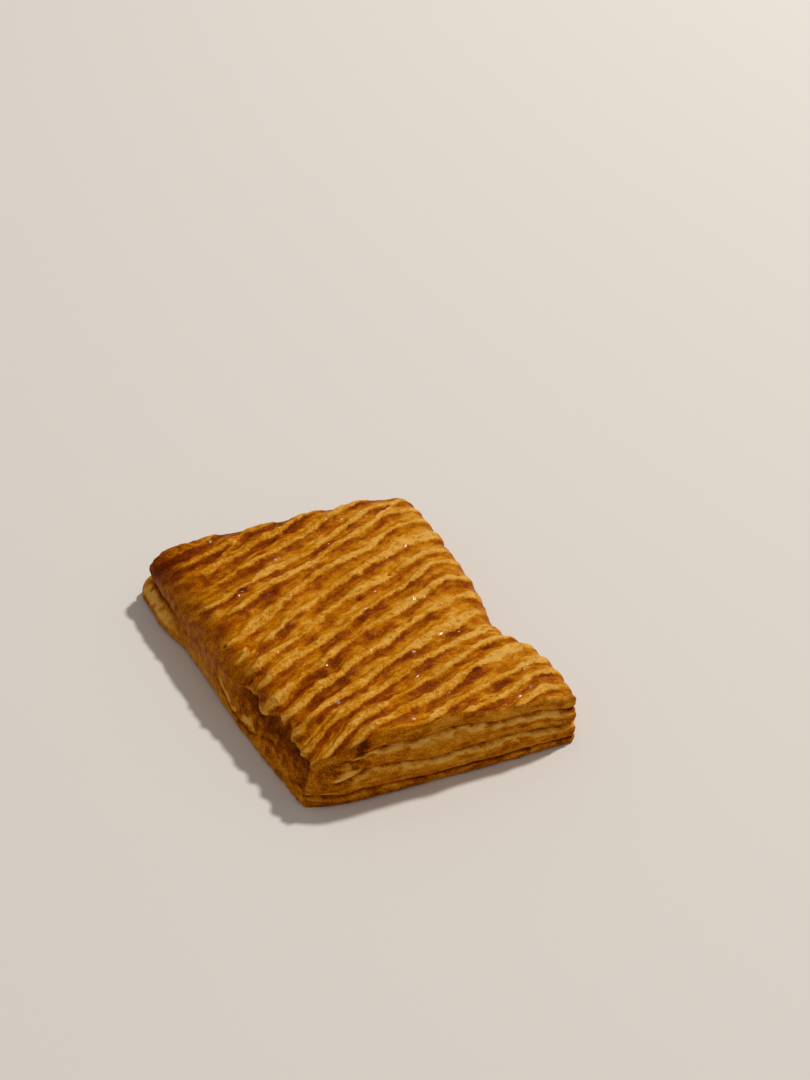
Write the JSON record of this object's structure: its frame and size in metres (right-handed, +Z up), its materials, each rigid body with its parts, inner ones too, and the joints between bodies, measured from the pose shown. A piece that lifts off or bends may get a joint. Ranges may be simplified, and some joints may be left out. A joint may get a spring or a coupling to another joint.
{
  "type": "gata pastry",
  "caption": "Rectangular slab of layered flaky gata pastry with a combed, egg-washed crust that rolls over one side and cut ends that show the layers.",
  "frame": {"origin": "centre of the flat base, under the middle of the slab", "axes": "+X across the slab, from the rolled side that faces the camera to the side with the waist; +Y along the slab, from the cut end in front to the back; +Z up"},
  "size_m": [0.136, 0.1726, 0.031],
  "materials": {
    "baked pastry": "egg wash baked dark and glossy in the hollows, thin and matte on the combed ridges, dry and matte on the cut ends"
  },
  "bodies": {
    "root": {"gata": "baked pastry"}
  },
  "joints": []
}
